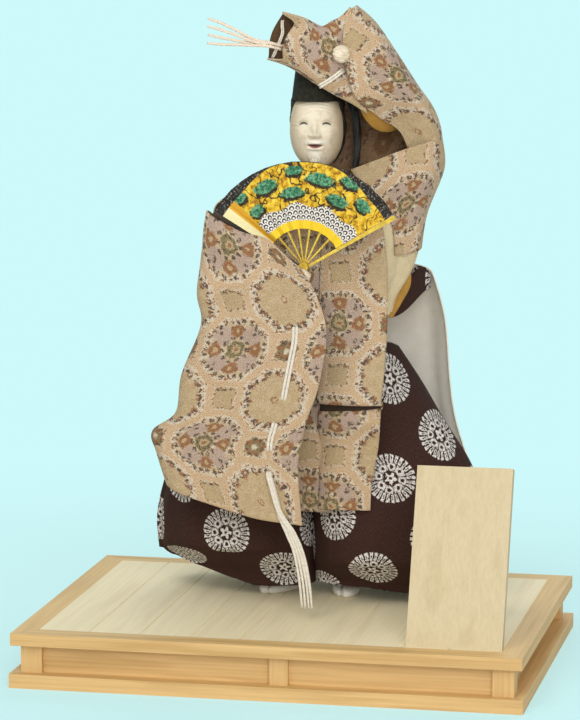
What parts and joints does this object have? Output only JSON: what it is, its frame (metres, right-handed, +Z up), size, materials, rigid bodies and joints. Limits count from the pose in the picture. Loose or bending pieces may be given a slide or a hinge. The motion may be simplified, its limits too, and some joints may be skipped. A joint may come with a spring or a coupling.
{
  "type": "noh doll",
  "caption": "Costume doll of a masked noh dancer with a raised sleeve and an open fan, standing on a planked wooden display stand with a bare name plaque.",
  "frame": {"origin": "middle of the stand's underside, on the surface that it stands on", "axes": "+Z up, -Y towards the front that the doll faces, +X to the viewer's right"},
  "size_m": [0.36, 0.266, 0.4674],
  "materials": {
    "pine": "oiled honey pine",
    "pale_pine": "plain sanded cedar",
    "steel": "drawn wire",
    "padding": "straw wrapped in paper",
    "white_cloth": "plain white cotton",
    "ivory": "carved wood under ivory shell paint",
    "crest_cloth": "dark maroon twill with pale round crests",
    "brocade": "beige figured brocade",
    "cord": "off-white twisted silk",
    "hair": "black silk strands",
    "hat": "black lacquered gauze",
    "fan_paper": "gilt paper",
    "fan_gold": "gold lacquered bamboo"
  },
  "bodies": {
    "stand": {"plinth_front": "pine", "plinth_back": "pine", "plinth_left": "pine", "plinth_right": "pine", "frame_front": "pine", "frame_back": "pine", "frame_left": "pine", "frame_right": "pine", "panel_front": "pine", "panel_back": "pine", "panel_left": "pine", "panel_right": "pine", "post_front_left": "pine", "post_front_right": "pine", "post_back_left": "pine", "post_back_right": "pine", "muntin_front": "pine", "batten_front": "pine", "batten_back": "pine", "deck_board": "pale_pine", "leg_rod_left": "steel", "leg_rod_right": "steel", "arm_wire_left": "steel", "arm_wire_right": "steel", "foot_left": "white_cloth", "foot_right": "white_cloth", "collar": "white_cloth", "torso": "padding", "hand_left": "ivory", "hand_right": "ivory", "hakama_left_leg": "crest_cloth", "hakama_right_leg": "crest_cloth", "hakama_back_panel": "crest_cloth", "waistband": "crest_cloth", "robe_front": "brocade", "robe_back": "brocade", "robe_side_left": "brocade", "sleeve_right": "brocade", "sleeve_right_upper": "brocade", "sleeve_left_arm": "brocade", "sleeve_left_drape": "brocade", "sleeve_tail_right": "cord", "sleeve_tail_left": "cord"},
    "head": {"head": "ivory", "mask": "ivory", "hair": "hair", "hat": "hat", "mask_cord": "cord"},
    "fan": {"fan_leaf": "fan_paper", "fan_guard_left": "fan_gold", "fan_guard_right": "fan_gold", "fan_rivet": "fan_gold", "fan_rib_1": "fan_gold", "fan_rib_2": "fan_gold", "fan_rib_3": "fan_gold", "fan_rib_4": "fan_gold", "fan_rib_5": "fan_gold", "fan_rib_6": "fan_gold"},
    "plaque": {"plaque_board": "pale_pine", "plaque_foot": "pale_pine"}
  },
  "joints": [
    {"name": "head_turn", "type": "hinge", "parent": "stand", "child": "head", "pos_m": [0.0069, 0.022, 0.3415], "axis": [0, 0, 1], "range_deg": [-12, 12]},
    {"name": "fan_lift", "type": "slide", "parent": "stand", "child": "fan", "axis": [0, 0, 1], "range_m": [0, 0.025]},
    {"name": "plaque_lift", "type": "slide", "parent": "stand", "child": "plaque", "axis": [0, 0, 1], "range_m": [0, 0.03]}
  ]
}
